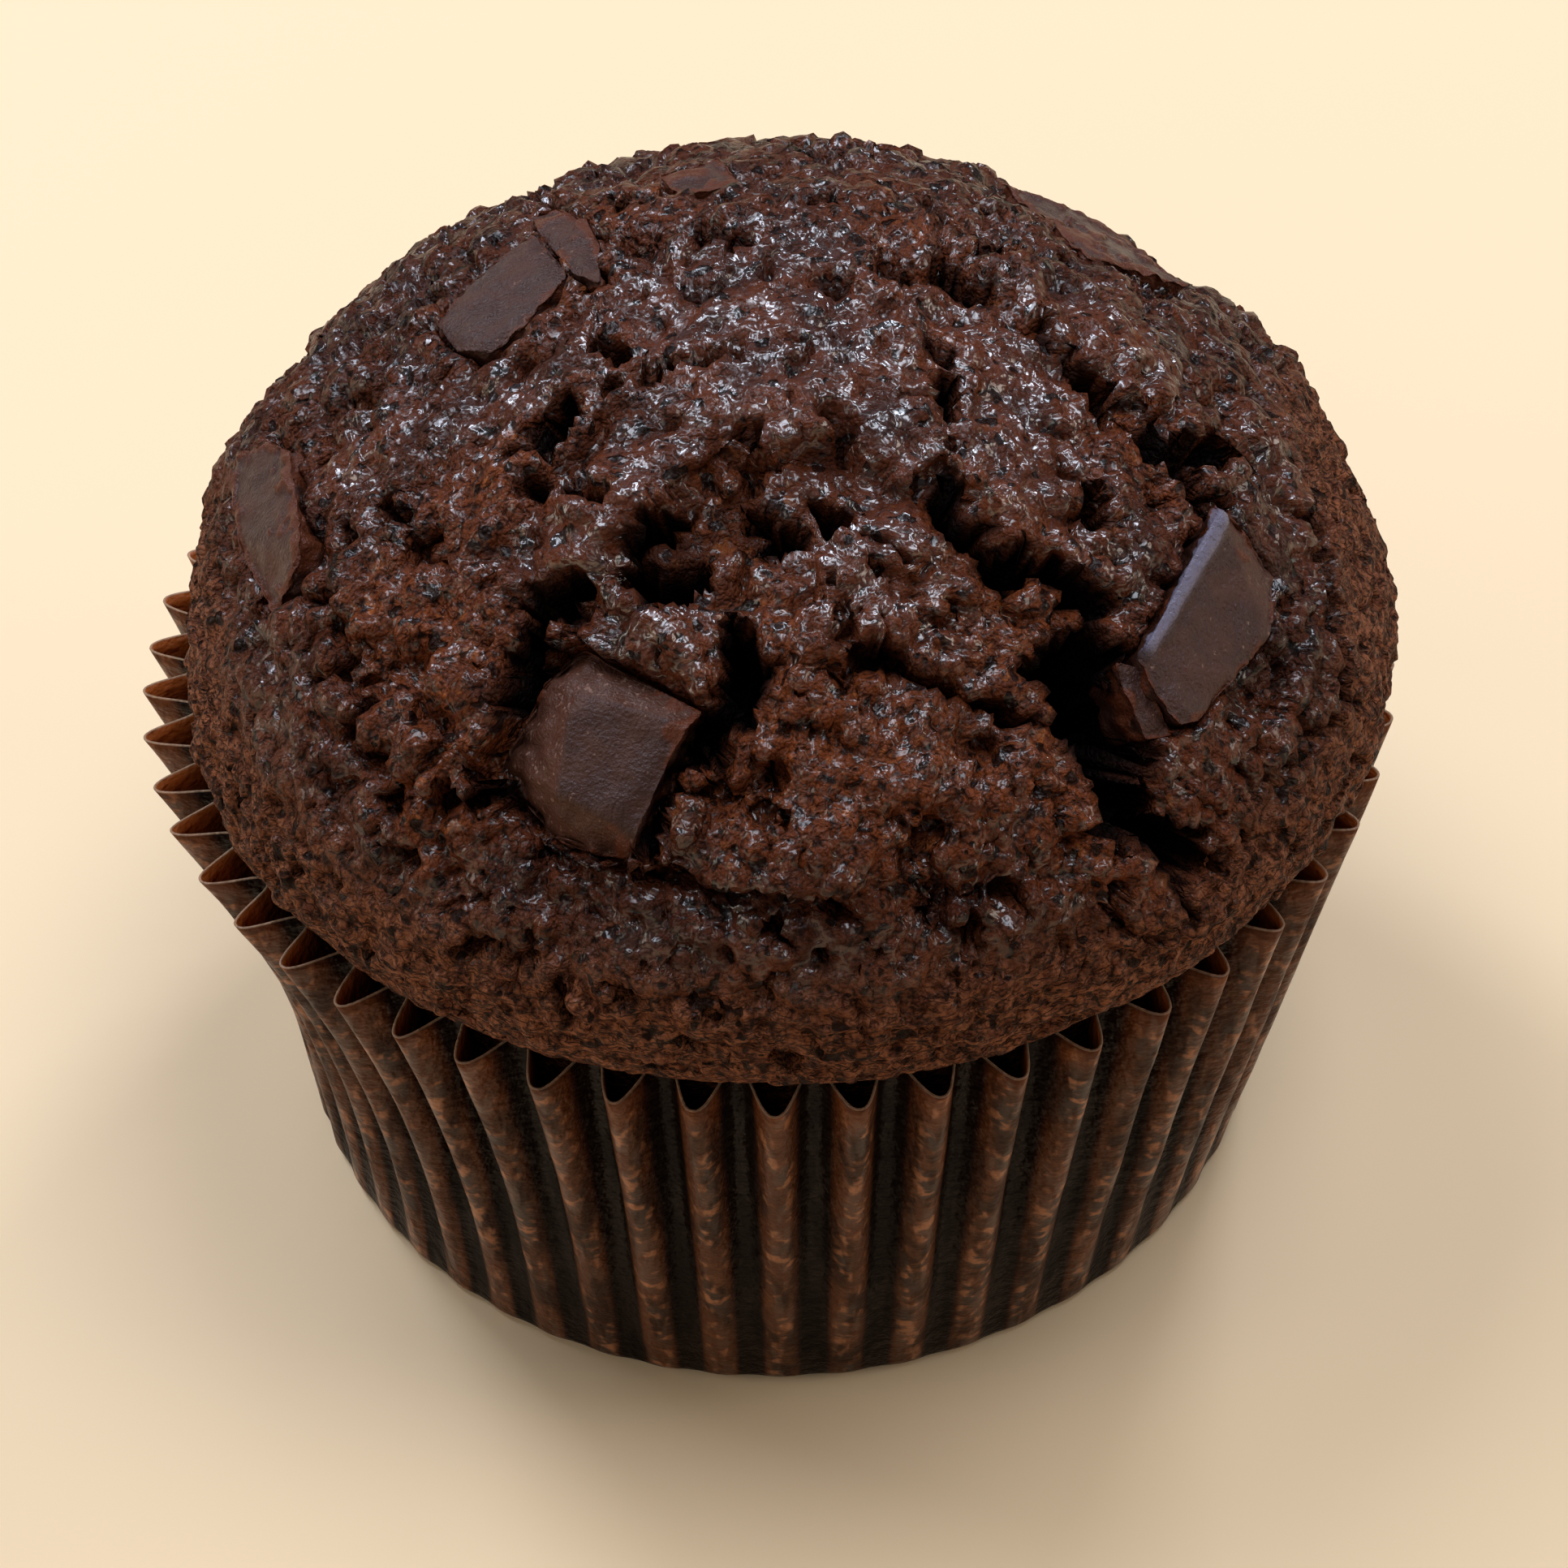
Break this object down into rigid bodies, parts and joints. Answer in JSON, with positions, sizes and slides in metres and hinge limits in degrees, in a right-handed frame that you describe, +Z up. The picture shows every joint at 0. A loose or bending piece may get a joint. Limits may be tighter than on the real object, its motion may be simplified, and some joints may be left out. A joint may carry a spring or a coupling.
{
  "type": "chocolate chunk muffin in a paper case",
  "caption": "Dark chocolate muffin with a cracked, domed top and chocolate chunks, standing upright in a fluted brown paper case.",
  "frame": {"origin": "middle of the paper case's flat base, on the surface that the muffin stands on", "axes": "+Z up, from the base to the domed top; -Y towards the side that shows the two largest chunks; +X to that side's right"},
  "size_m": [0.0748, 0.0761, 0.0636],
  "materials": {
    "case_paper": "matte",
    "cake": "matte",
    "chocolate": "satin"
  },
  "bodies": {
    "root": {"paper_case": "case_paper", "cake": "cake", "chunk_front": "chocolate", "chunk_right": "chocolate", "chunk_right_sliver": "chocolate", "chunk_upper_left": "chocolate", "chunk_upper_left_small": "chocolate", "chunk_left": "chocolate", "chunk_upper_right": "chocolate", "chunk_top_back": "chocolate", "chunk_back_right": "chocolate", "chunk_back": "chocolate", "chunk_back_left": "chocolate"}
  },
  "joints": []
}
